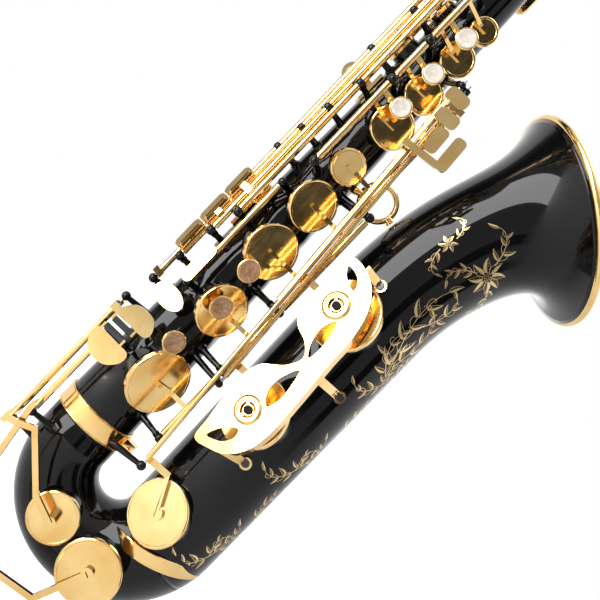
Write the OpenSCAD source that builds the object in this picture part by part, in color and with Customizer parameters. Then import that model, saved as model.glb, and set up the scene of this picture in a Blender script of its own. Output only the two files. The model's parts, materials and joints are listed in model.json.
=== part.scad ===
// Tenor saxophone: conical body, bow and flared bell, with its keywork, neck and mouthpiece.
// Millimetres, +Z up the body tube, +X towards the bell, -Y is the player's right-hand side.
// The origin is the centre of the strap ring on the back of the body.

/* [Body tube] */
// Length of the straight body tube
body_len = 560; // [545:5:575]
// Outer radius of the body tube at its lower end
body_r0 = 28; // [27.8:0.1:28.2]
// Outer radius of the body tube at its upper end
body_r1 = 14.3; // [14.1:0.1:14.5]
// Thickness of the brass sheet
sheet_t = 0.8; // [0.7:0.1:0.9]
// Height of a tone hole's rim above the tube
rim_h = 2.2; // [2:0.1:2.4]

/* [Bow and bell] */
// Distance between the body axis and the bell axis
leg_gap = 96; // [95:0.5:97]
// Height of the bow's turning centre
bow_z = -31; // [-32:0.5:-30]
// Outer radius at the end of the bow
bow_r1 = 38.1; // [37.8:0.1:38.3]
// Outer radius at the bell's mouth
mouth_r = 74.5; // [73:0.5:75]
// Radius of the rolled rim wire
rim_wire_r = 2.6; // [2.2:0.1:3]

/* [Keywork] */
// Radius of the steel hinge rods
rod_r = 1.1; // [1.05:0.01:1.15]
// Running clearance of a hinge tube on its rod
rod_gap = 0.05; // [0.03:0.01:0.08]
// Radius of the hinge tubes
hinge_r = 2.5; // [2.3:0.1:2.6]
// Radius of the round pearl touches
pearl_r = 7.4; // [7:0.1:7.6]

/* [Neck and mouthpiece] */
// Outer radius of the neck at its tenon end
neck_r0 = 12.6; // [12.4:0.1:12.8]
// Outer radius of the neck at its cork end
neck_r1 = 7.2; // [7:0.1:7.4]
// Length of the mouthpiece
mouthpiece_len = 92; // [88:1:96]

/* [Hidden] */
$fn = 48;

ring_at = [-37, 300];          // strap ring, x and z
gold = "goldenrod";
black = "#151515";
cup_rise = 4.4;                // top of a cup above its pad's face
bar_t = 2.4;                   // thickness of an arm
braze = 0.02;                  // joint between a tube and a touch brazed onto it
low_hinge = polar(51, 55);     // lower stack rod
up_hinge = polar(46, -16);     // upper stack rod
gs_hinge = polar(39, 62);      // G sharp rod
long_tilt = 3.55;              // lean of the three long rods towards the neck
cs_hinge = [44.6, -43.5];      // long rods, where they cross z = 0
b_hinge = [49.4, -39.6];
bb_hinge = [43.6, -38.6];
eb_hinge = [-43.5, -15];
c_hinge = [-35, -25];
bell_axis = [leg_gap, 0];
oct_hinge = polar(31, -122);

// Each cup: height up the tube, angle round it from the right-hand side, cup radius
D_CUP = [45.5, 26, 24.3];
E_CUP = [111, 23, 20];
F_CUP = [163.5, 17, 20.5];
FS_CUP = [206, 16, 18.5];
GS_CUP = [243.5, 15, 13.5];
G_CUP = [284, 16, 16];
A_CUP = [315.5, 17, 14.3];
B_CUP = [349.5, 17, 13];
C_CUP = [376.5, 17, 10.5];
BB_SIDE = [338, -90, 11.5];
C_SIDE = [376, -82, 11];
E_HIGH = [470, -74, 10];
FS_HIGH = [506, -100, 9.5];
D_PALM = [430, 168, 11];
EB_PALM = [458, 196, 10.5];
F_PALM = [488, 168, 10];
TRILL_CUP = [190, -56, 8.5];
TUBE_CUPS = [TRILL_CUP, D_CUP, E_CUP, F_CUP, FS_CUP, GS_CUP, G_CUP, A_CUP, B_CUP, C_CUP,
    BB_SIDE, C_SIDE, E_HIGH, FS_HIGH, D_PALM, EB_PALM, F_PALM];
CS_CUP = [-18, -28, 23.4];
B_LOW = [77.5, -28, 26];
BB_LOW = [166.5, -28, 26];
EB_LOW = [26.4, -69.7, 19];  // on the bow: x, z and cup radius
C_LOW = [69.3, -76.3, 23.2];

// Opening turns, in degrees
stack_open = 12;
upper_open = 9;
low_b_open = 9;
low_bb_open = 7;
low_c_open = 4;

function polar(rho, a) = [rho * sin(a), -rho * cos(a)];
function tube_r(z) = body_r0 + (body_r1 - body_r0) * z / body_len;
function leg_r(z) = 38.5 + 0.0125 * z;
function seat(cup) = tube_r(cup[0]) + rim_h;
function hole_r(r) = 0.87 * r - 0.3;
// A point in a key's own frame: x round the tube, y out from its axis
function local(p, a, c = [0, 0]) = let (q = p - c)
    [q.x * cos(a) + q.y * sin(a), q.x * sin(a) - q.y * cos(a)];
function mix(a, b, t) = a + (b - a) * t;
// A closed smooth curve through a few points
function smooth(p, n = 6) = [for (i = [0:len(p) - 1], j = [0:n - 1])
    let (k = len(p), t = j / n, a = p[(i + k - 1) % k], b = p[i], c = p[(i + 1) % k], d = p[(i + 2) % k])
        0.5 * (2 * b + (c - a) * t + (2 * a - 5 * b + 4 * c - d) * t * t
            + (3 * b - a - 3 * c + d) * t * t * t)];

module in_frame() translate([-ring_at.x, 0, -ring_at.y]) children();
// Key frame at height z and angle a: x round the tube, y up it, z straight out
module at(z, a, c = [0, 0]) translate([c.x, c.y, z]) rotate([0, 0, a]) rotate([90, 0, 0]) children();
// Turns a key by an angle about a hinge parallel to the tube
module swung(p, turn) translate([p.x, p.y, 0]) rotate([0, 0, turn]) translate([-p.x, -p.y, 0]) children();
// Frame of the three long rods, leaning about the y axis
module leaning() rotate([0, -long_tilt, 0]) children();
module lean_swung(p, turn) leaning() swung(p, turn) rotate([0, long_tilt, 0]) children();

// Unit vector to the left of the way from a to b
function left_of(a, b) = [a.y - b.y, b.x - a.x] / norm(b - a);
// Mitre at each point of a line, one unit wide on its left
function mitres(p) = [for (i = [0:len(p) - 1])
    let (k = len(p) - 1,
        a = left_of(p[max(i - 1, 0)], p[max(i, 1)]),
        b = left_of(p[min(i, k - 1)], p[min(i + 1, k)]))
        (a + b) / (1 + a * b)];
// A bent strip of width t along a line
module bar2d(p, t) {
    m = mitres(p);
    k = len(p) - 1;
    polygon([for (i = [0:k]) p[i] + m[i] * t / 2, for (i = [k:-1:0]) p[i] - m[i] * t / 2]);
}
// A bar of width w across the key frame, following points in its x-z plane
module bar(y, w, p, t = bar_t) translate([0, y, 0]) rotate([90, 0, 0])
    linear_extrude(w, center = true) bar2d(p, t);
module tube_y(p, y0, y1, r) translate([p.x, y0, p.y]) rotate([-90, 0, 0]) cylinder(h = y1 - y0, r = r);
module tube_z(p, z0, z1, r) translate([p.x, p.y, z0]) cylinder(h = z1 - z0, r = r);
module link(a, b, r0, r1) {
    d = b - a;
    translate(a) rotate([0, atan2(norm([d.x, d.y]), d.z), 0] + [0, 0, atan2(d.y, d.x)])
        cylinder(h = norm(d), r1 = r0, r2 = r1);
}
module torus(r, t) rotate_extrude() translate([r, 0]) circle(t, $fn = 24);

module cup(r, h) translate([0, 0, h]) rotate_extrude()
    polygon([[0, 3.1], [r - 1, 3.1], [r - 1, 0.9], [r, 0.9], [r, 3.3], [r - 0.3, 4], [r - 1, cup_rise],
        [r - 2, cup_rise], [r - 2.3, 4.15], [0, 4.15]]);
module pad(r, h) translate([0, 0, h]) rotate_extrude()
    polygon([[0, 0.06], [r - 1.9, 0.06], [r - 1.2, 0.6], [r - 1.1, 1.2], [r - 1.1, 3.05], [0, 3.05]]);
// Round touch with a raised rim; its pearl lies in the recess
module touch(r = pearl_r) difference() {
    rotate_extrude() polygon([[0, -2.4], [r - 2, -2.4], [r + 0.9, -0.8], [r + 0.9, 0.7], [r + 0.5, 1], [0, 1]]);
    translate([0, 0, -0.4]) cylinder(h = 3, r = r + 0.05);
}
module pearl(r = pearl_r) rotate_extrude()
    polygon([[0, -0.35], [r, -0.35], [r, 0.9], [r - 0.6, 1.15], [r * 0.5, 0.75], [0, 0.6]]);

// Path of an arm in section, from its hinge down onto a cup
function arm_path(hinge, r, h) = let (s = sign(hinge.x), top = h + cup_rise + 0.9)
    [hinge, [s * r * 0.62, top + 0.6], [s * r * 0.4, top], [-s * r * 0.12, top]];

// A key: cup, arm and hinge tube from z0 to z1; its children are drawn in the body's frame
module cup_key(row, hinge, z0, z1, w = 3.2, own_pad = true) {
    top = seat(row);
    difference() {
        union() {
            at(row[0], row[1]) {
                cup(row[2], top);
                bar(0, w, arm_path(local(hinge, row[1]), row[2], top));
            }
            tube_z(hinge, z0, z1, hinge_r);
            children();
        }
        tube_z(hinge, z0 - 1, z1 + 1, rod_r + rod_gap);
    }
    if (own_pad) at(row[0], row[1]) pad(row[2], top);
}

// ---- Tubes ----------------------------------------------------------------
module tube_cone(d) cylinder(h = body_len, r1 = body_r0 - d, r2 = body_r1 - d, $fn = 96);
module body_tube() color(black) in_frame() difference() {
    union() {
        tube_cone(0);
        translate([0, 0, -7]) cylinder(h = 7, r = body_r0, $fn = 96);
        for (cup_row = TUBE_CUPS) {
            c = hole_r(cup_row[2]) + 0.9;
            low = sqrt(pow(tube_r(cup_row[0]), 2) - c * c) - 1;
            at(cup_row[0], cup_row[1]) translate([0, 0, low]) cylinder(h = seat(cup_row) - low, r = c);
        }
    }
    tube_cone(sheet_t);
    translate([0, 0, -8]) cylinder(h = 8.01, r = body_r0 - sheet_t, $fn = 96);
    translate([0, 0, body_len - 0.01]) cylinder(h = 1, r = body_r1 - sheet_t);
    for (cup_row = TUBE_CUPS) {
        c = hole_r(cup_row[2]);
        low = sqrt(pow(tube_r(cup_row[0]) - sheet_t, 2) - c * c) - 1.5;
        at(cup_row[0], cup_row[1]) translate([0, 0, low]) cylinder(h = 40, r = c);
    }
}

// A hollow tube swept in the x-z plane: stations of [x, z, direction, outer r, inner r]
module hollow_sweep(s, n = 36) {
    k = len(s);
    points = [for (w = [3, 4], i = [0:k - 1], j = [0:n - 1])
        let (q = s[i], f = 360 * j / n, u = q[w] * cos(f), a = q[2])
            [q[0] + u * sin(a), q[w] * sin(f), q[1] - u * cos(a)]];
    outer = [for (i = [0:k - 2], j = [0:n - 1])
        let (m = (j + 1) % n) [i * n + j, (i + 1) * n + j, (i + 1) * n + m, i * n + m]];
    inner = [for (f = outer) [for (e = [3, 2, 1, 0]) f[e] + k * n]];
    ends = [for (j = [0:n - 1]) let (m = (j + 1) % n) each [
        [j, m, m + k * n, j + k * n],
        [(k - 1) * n + m, (k - 1) * n + j, (2 * k - 1) * n + j, (2 * k - 1) * n + m]]];
    polyhedron(points, concat(outer, inner, ends), convexity = 6);
}
// Bow: q runs from 0 at the body to 180 at the bell leg
function bow_r(q) = body_r0 + 0.2 + (bow_r1 - body_r0 - 0.2) * q / 180;
function bow_station(q) =
    [leg_gap / 2 * (1 - cos(q)), bow_z - leg_gap / 2 * sin(q), q - 90, bow_r(q), bow_r(q) - sheet_t];
bow_end = 164;
bow_path = concat([[0, -7.1, -90, body_r0, body_r0 - sheet_t]],
    [for (i = [0:22]) bow_station(bow_end * i / 22)]);
// Holes and rims on a faceted tube, seen straight from the right-hand side
module side_rim(x, z, r, h, d) translate([x, 0, z]) rotate([90, 0, 0]) translate([0, 0, h - d])
    cylinder(h = d, r = r);
bow_seat = 34.6;
module bow_tube() color(black) in_frame() difference() {
    union() {
        hollow_sweep(bow_path);
        for (q = [EB_LOW, C_LOW]) side_rim(q.x, q.y, hole_r(q[2]) + 0.9, bow_seat + (q == C_LOW ? 2 : 0), 12);
    }
    for (q = [EB_LOW, C_LOW]) side_rim(q.x, q.y, hole_r(q[2]), 50, 38);
}
// Bell: the end of the bend, the straight leg, then the flare leaning forward
flare0 = [leg_gap, 180];
flare1 = [leg_gap, 236];
flare2 = [leg_gap + 16, 286];
flare3 = [leg_gap + 44, 320];
function flare_at(t) = mix(mix(mix(flare0, flare1, t), mix(flare1, flare2, t), t),
    mix(mix(flare1, flare2, t), mix(flare2, flare3, t), t), t);
// Direction of a cubic curve through a, b, c and d
function curve_dir(a, b, c, d, t) =
    let (v = mix(mix(b - a, c - b, t), mix(c - b, d - c, t), t)) atan2(v.y, v.x);
function flare_dir(t) = curve_dir(flare0, flare1, flare2, flare3, t);
function flare_r(t) = leg_r(180) + 7.9 * pow(t, 1.7) + (mouth_r - leg_r(180) - 7.9) * pow(t, 9.5);
function bell_station(x, z, a, r) = [x, z, a, r, r - sheet_t];
bell_path = concat(
    [for (q = [bow_end, 172]) let (s = bow_station(q)) bell_station(s[0], s[1], s[2], s[3])],
    [for (z = [bow_z, 40, 110]) bell_station(leg_gap, z, 90, leg_r(z))],
    [for (t = [0, 0.2, 0.35, 0.5, 0.6, 0.7, 0.77, 0.83, 0.88, 0.92, 0.95, 0.975, 1])
        let (p = flare_at(t)) bell_station(p.x, p.y, flare_dir(t), flare_r(t))]);
bell_cups = [CS_CUP, B_LOW, BB_LOW];
function bell_seat(row) = leg_r(row[0]) + rim_h + 0.4;
module bell() color(black) in_frame() difference() {
    union() {
        hollow_sweep(bell_path, 40);
        for (q = bell_cups) {
            c = hole_r(q[2]) + 0.9;
            low = sqrt(pow(leg_r(q[0]), 2) - c * c) - 1;
            at(q[0], q[1], bell_axis) translate([0, 0, low]) cylinder(h = bell_seat(q) - low, r = c);
        }
    }
    for (q = bell_cups) {
        c = hole_r(q[2]);
        at(q[0], q[1], bell_axis) translate([0, 0, 26]) cylinder(h = 30, r = c);
    }
    intersection() {
        hollow_core();
        translate([leg_gap - 60, -60, -60]) cube([120, 120, 260]);
    }
}
// The air space of the bell leg, which clears the rims' roots
module hollow_core() translate([leg_gap, 0, bow_z])
    cylinder(h = 215, r1 = leg_r(bow_z) - sheet_t, r2 = leg_r(185) - sheet_t, $fn = 40);
module bell_rim_ring() color(gold) in_frame() {
    a = flare_dir(1);
    translate([flare3.x, 0, flare3.y]) rotate([0, 90 - a, 0])
        rotate_extrude($fn = 96) translate([mouth_r - 0.2, 2.65]) circle(rim_wire_r, $fn = 24);
}

module band(h, r, t) rotate_extrude($fn = 96)
    polygon([[r, 0], [r + t * 0.6, 0], [r + t, 0.6], [r + t, h - 0.6], [r + t * 0.6, h], [r, h]]);
module ferrules() color(gold) in_frame() {
    translate([0, 0, -15]) band(15, body_r0 + 0.3, 1.3);
    // Clamp screw block of the body ferrule
    at(-8, 78) translate([0, 0, body_r0 + 1.2]) difference() {
        linear_extrude(8, center = false) square([9, 10], center = true);
        translate([-6, 0, 4.6]) rotate([0, 90, 0]) cylinder(h = 12, r = 1.6);
    }
    at(-8, 78) tube_x(4.6 + body_r0 + 1.2, -7, 7, 1.55);
    s = bow_station(bow_end);
    translate([s[0], 0, s[1]]) rotate([0, bow_end - 180, 0]) translate([0, 0, -5]) band(10, bow_r1 + 0.5, 1.3);
}
module tube_x(h, x0, x1, r) translate([x0, 0, h]) rotate([0, 90, 0]) cylinder(h = x1 - x0, r = r);

// ---- Bell key guard -------------------------------------------------------
guard_a = -31;
guard_h = 64;
guard_t = 1.8;
guard_edge = smooth([[-7, 39.3], [6, 41.8], [17, 47.5], [26, 60], [29.3, 78], [28, 108], [26, 135], [25.2, 156],
    [21, 175], [12, 189], [0, 196.4], [-12, 198.3], [-17.5, 192], [-16.5, 178], [-17, 166], [-17, 150], [-9, 140],
    [3, 135], [10, 126.5], [5, 116], [-2, 110], [-9, 104], [-13, 92], [-12.5, 76], [-9.5, 55]], 5);
guard_slots = [
    [[-2.2, 46.4], [2.5, 57], [11, 64.5], [13.5, 59], [10, 52], [4, 48]],
    [[15.2, 87.6], [9.9, 91.9], [7.3, 100], [9, 110], [14, 119.5], [17, 110], [18.2, 98]],
    [[12.5, 129.2], [7.1, 136.6], [4.6, 146], [6, 154], [9.5, 159.2], [12.8, 150], [14.2, 138]],
    [[-12, 191.6], [-8.7, 186.4], [-3, 182.6], [3, 181], [2, 186], [-2, 189.8], [-7, 191.6]]];
bosses = [[7, 77.5], [1.3, 166.5]];
boss_r = 8.6;
// Points of an outline moved inward
function inset(p, d) = [for (i = [0:len(p) - 1])
    let (k = len(p), t = p[(i + 1) % k] - p[(i + k - 1) % k], n = [-t.y, t.x] / norm(t)) p[i] + n * d];
module guard_frame() at(0, guard_a, bell_axis) translate([0, 0, guard_h]) children();
guard_feet = [[13.5, 48], [25.5, 124], [-1, 197.5]];
module bell_key_guard() color(gold) in_frame() guard_frame() {
    difference() {
        union() {
            linear_extrude(guard_t) polygon(guard_edge);
            // Rolled-down flange along the outer edge
            translate([0, 0, -6.5]) linear_extrude(7) intersection() {
                difference() {
                    polygon(guard_edge);
                    polygon(inset(guard_edge, 1.5));
                }
                translate([6, 30]) square([60, 162]);
            }
            for (b = bosses) translate([b.x, b.y, -3]) cylinder(h = 3 + guard_t + 1.2, r = boss_r);
            for (f = guard_feet) guard_leg(f);
        }
        for (b = bosses) translate([b.x, b.y, -4]) cylinder(h = 12, r = boss_r - 1.3);
        for (s = guard_slots) translate([0, 0, -8]) linear_extrude(12) polygon(smooth(s, 4));
        for (f = guard_feet) guard_screw_axis(f) translate([0, 0, -20]) cylinder(h = 40, r = 1.65);
    }
}
// A leg drops from the flange to the bell wall and turns out into a foot
function leg_foot(f) = [f[0] + 6, sqrt(max(pow(leg_r(f[1]) + 0.9, 2) - pow(f[0] + 6, 2), 1)) - guard_h];
module guard_leg(f) {
    p = leg_foot(f);
    bar(f[1], 6, [[f[0], 0.9], [f[0] + 2, -8], [p.x - 1.5, p.y + 7], [p.x, p.y + 0.6]], 1.8);
    guard_screw_axis(f) cylinder(h = 2.2, r = 4.4);
}
module guard_screw_axis(f) {
    p = leg_foot(f);
    turn = asin(p.x / (leg_r(f[1]) + 0.9));
    translate([p.x, f[1], p.y]) rotate([0, turn, 0]) children();
}
module screw(len, r) difference() {
    union() {
        translate([0, 0, -len]) cylinder(h = len, r = r);
        cylinder(h = 1.8, r1 = r * 1.9, r2 = r * 1.6);
    }
    translate([-r * 2, -0.4, 0.9]) cube([r * 4, 0.8, 2]);
}
module guard_screws() color("darkslategray") in_frame() guard_frame()
    for (f = guard_feet) guard_screw_axis(f) translate([0, 0, 2.25]) screw(2.6, 1.55);
module bumper_holders() color(gold) in_frame() guard_frame()
    for (b = bosses) translate([b.x, b.y, -2.4]) difference() {
        union() {
            difference() {
                cylinder(h = 4.8, r = boss_r - 1.35);
                translate([0, 0, -1]) cylinder(h = 7, r = boss_r - 3);
            }
            for (i = [0:2]) rotate(i * 120 + 20) translate([2.6, -0.9, 0]) cube([boss_r - 5, 1.8, 3.4]);
            cylinder(h = 3.4, r = 3.9);
        }
        translate([0, 0, -1]) cylinder(h = 8, r = 3.05);
    }
module bumper_felts() color("black") in_frame() guard_frame()
    for (b = bosses) translate([b.x, b.y, -5.6]) cylinder(h = 8.2, r = 3);

// ---- Brace, posts and rods -------------------------------------------------
brace_at = [41.2, 244.5];
module bell_brace() color(gold) in_frame() {
    translate([brace_at.x, 0, brace_at.y]) rotate([90, 0, 0]) torus(13.6, 2.1);
    link([tube_r(240) - 0.4, 0, 240], [brace_at.x - 13.6, 0, 241], 4.2, 2.6);
    link([brace_at.x + 12, 0, 241], [58.3, 0, 240], 2.6, 4);
}

// A post on the body tube: base, waisted stem and ball, standing at the angle of its hinge
// Guides: posts bored to hold a long hinge tube part-way
GUIDES = [[left_hinge(-60), [242]], [left_hinge(-50.5), [264]], [left_hinge(-41), [290, 402]],
    [left_hinge(-70), [222, 318, 430]]];
module post_shape(z, a, rho, ball = 3.5) at(z, a) {
    base = tube_r(z) - 0.6;
    translate([0, 0, base]) cylinder(h = 2, r1 = 4.4, r2 = 3.4);
    translate([0, 0, base]) cylinder(h = rho - base, r1 = 2.7, r2 = 1.9);
    translate([0, 0, rho]) sphere(ball);
    translate([0, 0, rho - ball - 1.4]) cylinder(h = 1.2, r = 2.7);
}
function angle_of(p) = atan2(p.x, -p.y);
// Posts that carry a rod parallel to the tube: hinge and heights
function left_hinge(a) = polar(41, a);
trill_hinge = polar(36, -31);
POSTS = [[low_hinge, [17.6, 81, 137.2, 227.6]], [up_hinge, [227.4, 303.4, 339.4, 391.6]],
    [gs_hinge, [225.5, 322]],
    [left_hinge(-60), [118, 356]], [left_hinge(-50.5), [146, 396]], [left_hinge(-41), [168, 486]],
    [left_hinge(-70), [93.5, 522]], [trill_hinge, [109.5, 204]],
    [palm_hinge(0), [408, 443]], [palm_hinge(1), [445.5, 472.5]],
    [palm_hinge(2), [472.5, 506]], [oct_hinge, [352, 398]]];
function palm_hinge(i) = polar(30, i == 1 ? 154 : 214);
LONG_POSTS = [[cs_hinge, 332.6], [b_hinge, 74.4], [bb_hinge, 137.4]];
module long_post(p, z) {
    q = [p.x - z * tan(long_tilt), p.y];
    rho = norm(q);
    post_shape(z, angle_of(q), rho, 2.8);
}
module rods(extra) {
    for (p = [[low_hinge, 14.6, 230.4], [up_hinge, 224.4, 394.4], [gs_hinge, 222.6, 325], [left_hinge(-60), 115, 359],
        [left_hinge(-50.5), 143, 399], [left_hinge(-41), 165, 489], [left_hinge(-70), 90.5, 525],
        [trill_hinge, 106.5, 207],
        [palm_hinge(0), 405, 446], [palm_hinge(1), 442.5, 475.5], [palm_hinge(2), 469.5, 509],
        [oct_hinge, 349, 401],
        [eb_hinge, -49, 74], [c_hinge, -34, 49]])
        tube_z(p[0], p[1] - extra, p[2] + extra, rod_r + extra * 0.02);
    leaning() {
        tube_z(cs_hinge, -4 - extra, 335 + extra, rod_r + extra * 0.02);
        tube_z(b_hinge, 70 - extra, 335 + extra, rod_r + extra * 0.02);
        tube_z(bb_hinge, 135 - extra, 335 + extra, rod_r + extra * 0.02);
    }
}
module hinge_rods() color("silver") in_frame() rods(0);
module body_posts() color(black) in_frame() difference() {
    union() {
        for (p = POSTS, z = p[1]) post_shape(z, angle_of(p[0]), norm(p[0]));
        for (p = GUIDES, z = p[1]) post_shape(z, angle_of(p[0]), norm(p[0]), 3.7);
        for (p = LONG_POSTS) long_post(p[0], p[1]);
        // Yoke at the top of the long rods
        leaning() for (p = [b_hinge, bb_hinge]) translate([p.x, p.y, 330.4])
            cylinder(h = 2.4, r = 3.2, center = true);
    }
    rods(1);
    for (p = GUIDES, z = p[1]) tube_z(p[0], z - 5, z + 5, hinge_r + 0.1);
}
module bow_posts() color(black) in_frame() difference() {
    union() {
        for (p = [
            [[-26, -6, 71], [eb_hinge.x, eb_hinge.y, 71]], [[-20, -12, -47], [eb_hinge.x, eb_hinge.y, -46]],
            [[-20, -17, 45.8], [c_hinge.x, c_hinge.y, 45.8]], [[-17, -20, -31], [c_hinge.x, c_hinge.y, -31]],
            [[18, -20, -10], [cs_hinge.x, cs_hinge.y, -1]]]) {
            link(p[0], p[1], 2.8, 1.9);
            translate(p[1]) sphere(3.5);
        }
    }
    rods(1);
}

// ---- Fittings on the back ---------------------------------------------------
module strap_ring() color(gold) in_frame() {
    translate([ring_at.x, 0, ring_at.y]) difference() {
        union() {
            rotate([90, 0, 0]) cylinder(h = 4, r = 8.4, center = true);
            translate([10.8, 0, 0]) cube([8, 3.4, 9], center = true);
        }
        rotate([90, 0, 0]) cylinder(h = 10, r = 5.5, center = true);
    }
    at(ring_at.y, -90) translate([0, 0, tube_r(ring_at.y) - 0.7]) linear_extrude(2.4)
        square([15, 24], center = true);
}
module thumb_hook() color(gold) in_frame() {
    z = 176;
    at(z, -98) {
        translate([0, 0, tube_r(z) - 0.6]) linear_extrude(2.8) square([17, 32], center = true);
        bar(8, 13, [[0, tube_r(z) + 1], [0, tube_r(z) + 16], [-7, tube_r(z) + 23], [-17, tube_r(z) + 23]], 3);
    }
}
module thumb_rest() color(gold) in_frame() at(368, -135) {
    translate([0, 0, tube_r(368) - 0.6]) cylinder(h = 5, r1 = 9, r2 = 8);
    translate([0, 0, tube_r(368) + 4.4]) cylinder(h = 1.6, r1 = 8, r2 = 6.6);
}

// ---- Neck --------------------------------------------------------------------
neck_z = body_len + 26;
module neck_receiver() color(gold) in_frame() difference() {
    union() {
        translate([0, 0, body_len - 4]) cylinder(h = 6, r = body_r1 + 1.3);
        translate([0, 0, body_len + 2]) cylinder(h = 24, r = 15.6);
        translate([0, 0, body_len + 20]) cylinder(h = 4, r = 16.4);
        translate([13, -6, body_len + 10]) cube([13, 12, 11]);
    }
    translate([0, 0, body_len - 5]) cylinder(h = 5.02, r = body_r1 + 0.15);
    translate([0, 0, body_len - 1]) cylinder(h = 40, r = 13.1);
    translate([12, -0.6, body_len + 8]) cube([20, 1.2, 30]);
    translate([21, 0, body_len + 15.5]) rotate([90, 0, 0]) cylinder(h = 30, r = 1.85, center = true);
}
module receiver_screw() color(gold) in_frame() translate([21, 0, body_len + 15.5]) rotate([90, 0, 0]) {
    cylinder(h = 16, r = 1.8, center = true);
    translate([0, 0, 6.1]) difference() {
        cylinder(h = 8, r = 4.4);
        for (i = [0:11]) rotate(i * 30) translate([4.7, 0, -1]) cylinder(h = 10, r = 0.7);
    }
}
neck0 = [0, neck_z];
neck1 = [0, neck_z + 104];
neck2 = [-98, neck_z + 138];
neck3 = [-182, neck_z + 92];
function neck_at(t) = mix(mix(mix(neck0, neck1, t), mix(neck1, neck2, t), t),
    mix(mix(neck1, neck2, t), mix(neck2, neck3, t), t), t);
function neck_dir(t) = curve_dir(neck0, neck1, neck2, neck3, t);
module neck_tube() color(gold) in_frame() {
    hollow_sweep([for (i = [0:20]) let (t = i / 20, p = neck_at(t), r = mix(neck_r0, neck_r1, t))
        [p.x, p.y, neck_dir(t) < 0 ? neck_dir(t) + 360 : neck_dir(t), r, r - sheet_t]], 28);
    // Saddle of the octave key: two posts and a pin
    for (y = [-6, 6]) translate([0, y, 0]) {
        on_crown(octave_at) translate([0, 0, neck_wall(octave_at) - 2.6]) cylinder(h = octave_rise + 2, r = 1.5);
        octave_pin(3, 2.4);
    }
    octave_pin(12, rod_r);
    on_crown(vent_at) translate([0, 0, neck_wall(vent_at) - 0.4]) cylinder(h = 2.7, r = 2.6);
    difference() {
        union() {
            translate([0, 0, body_len + 2]) cylinder(h = 25, r = 13.02);
            translate([0, 0, neck_z + 0.3]) cylinder(h = 5, r = 15);
        }
        translate([0, 0, body_len]) cylinder(h = 60, r = neck_r0 + 0.02);
    }
}
module at_neck_end() translate([neck3.x, 0, neck3.y]) rotate([0, 90 - neck_dir(1), 0]) children();
cork_len = 32;
module neck_cork() color("burlywood") in_frame() at_neck_end() translate([0, 0, -cork_len + 2])
    difference() {
        cylinder(h = cork_len - 2.4, r1 = 8.9, r2 = 8.7);
        translate([0, 0, -1]) cylinder(h = cork_len + 2, r = neck_r1 + 0.75);
    }
// Neck octave key: a hinge on the crown of the neck, a bar over a small cup, and a half loop at the foot
octave_at = 0.4;                // hinge and cup, along the neck's curve
vent_at = 0.2;
octave_rise = 5.2;              // hinge above the neck's wall
function neck_wall(t) = mix(neck_r0, neck_r1, t);
function over_neck(t, h) = let (a = neck_dir(t)) neck_at(t) + (neck_wall(t) + h) * [sin(a), -cos(a)];
octave_hinge_at = over_neck(octave_at, octave_rise);
module octave_pin(h, r) translate([octave_hinge_at.x, 0, octave_hinge_at.y]) rotate([90, 0, 0])
    cylinder(h = h, r = r, center = true);
loop_z = neck_z + 2;
loop_r = 19;
// Frame on the crown of the neck: its z axis stands straight out
module on_crown(t) {
    p = neck_at(t);
    translate([p.x, 0, p.y]) rotate([0, 90 - neck_dir(t), 0]) rotate([0, 90, 0]) children();
}
module neck_octave_key() color(gold) in_frame() {
    difference() {
        union() {
            on_crown(vent_at) cup(5, neck_wall(vent_at) + 2.4);
            octave_pin(8, hinge_r);
            rotate([90, 0, 0]) linear_extrude(4.4, center = true)
                bar2d([octave_hinge_at, over_neck(0.3, 6.4), over_neck(vent_at, 7.4), over_neck(0.08, 8.2),
                    [loop_r, loop_z]], 2);
            translate([0, 0, loop_z]) rotate([0, 0, -90]) rotate_extrude(angle = 180)
                translate([loop_r, 0]) circle(1.5, $fn = 24);
        }
        octave_pin(20, rod_r + rod_gap);
    }
    on_crown(vent_at) pad(5, neck_wall(vent_at) + 2.4);
}
module octave_lever() color(gold) in_frame() swung(oct_hinge, 0) {
    at(375, -122) {
        p = local(oct_hinge, -122);
        difference() {
            union() {
                tube_y(p, -19.4, 19.4, hinge_r);
                bar(-6, 12, [p, [8, p.y + 3.5], [16, p.y + 1]], 2.2);
            }
            tube_y(p, -30, 30, rod_r + rod_gap);
        }
    }
}

// ---- Mouthpiece ---------------------------------------------------------------
mp_start = -20;                 // shank's open end, measured along the neck's end direction
module mp_frame() at_neck_end() translate([0, 0, mp_start]) children();
module mouthpiece() color("#101010") in_frame() mp_frame() difference() {
    union() {
        cylinder(h = 30, r = 12.2);
        translate([0, 0, 30]) cylinder(h = mouthpiece_len - 30, r1 = 12.2, r2 = 10.6);
        translate([0, 0, 1.5]) rotate_extrude() translate([12.2, 0]) circle(1, $fn = 16);
    }
    translate([0, 0, -1]) cylinder(h = 38, r = 9.0);
    translate([0, 0, -1]) cylinder(h = 9, r = 10.6);
    translate([0, 0, 36]) cylinder(h = mouthpiece_len, r = 6.4);
    // Beak slope above and flat table below
    translate([6.6, -20, mouthpiece_len]) rotate([0, -19, 0]) translate([0, 0, -60]) cube([30, 40, 90]);
    translate([-40 - 8.6, -20, 34]) cube([40, 40, 80]);
    // Window under the reed
    translate([-20, -5.6, 52]) cube([20, 11.2, mouthpiece_len - 54]);
}
module reed() color("khaki") in_frame() mp_frame() translate([-8.65, 0, 38]) difference() {
    translate([-3, -7.6, 0]) cube([3, 15.2, mouthpiece_len - 38.2]);
    translate([-3.1, -10, 22]) rotate([0, 4.5, 0]) translate([-5, 0, 0]) cube([5, 20, 50]);
}
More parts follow.
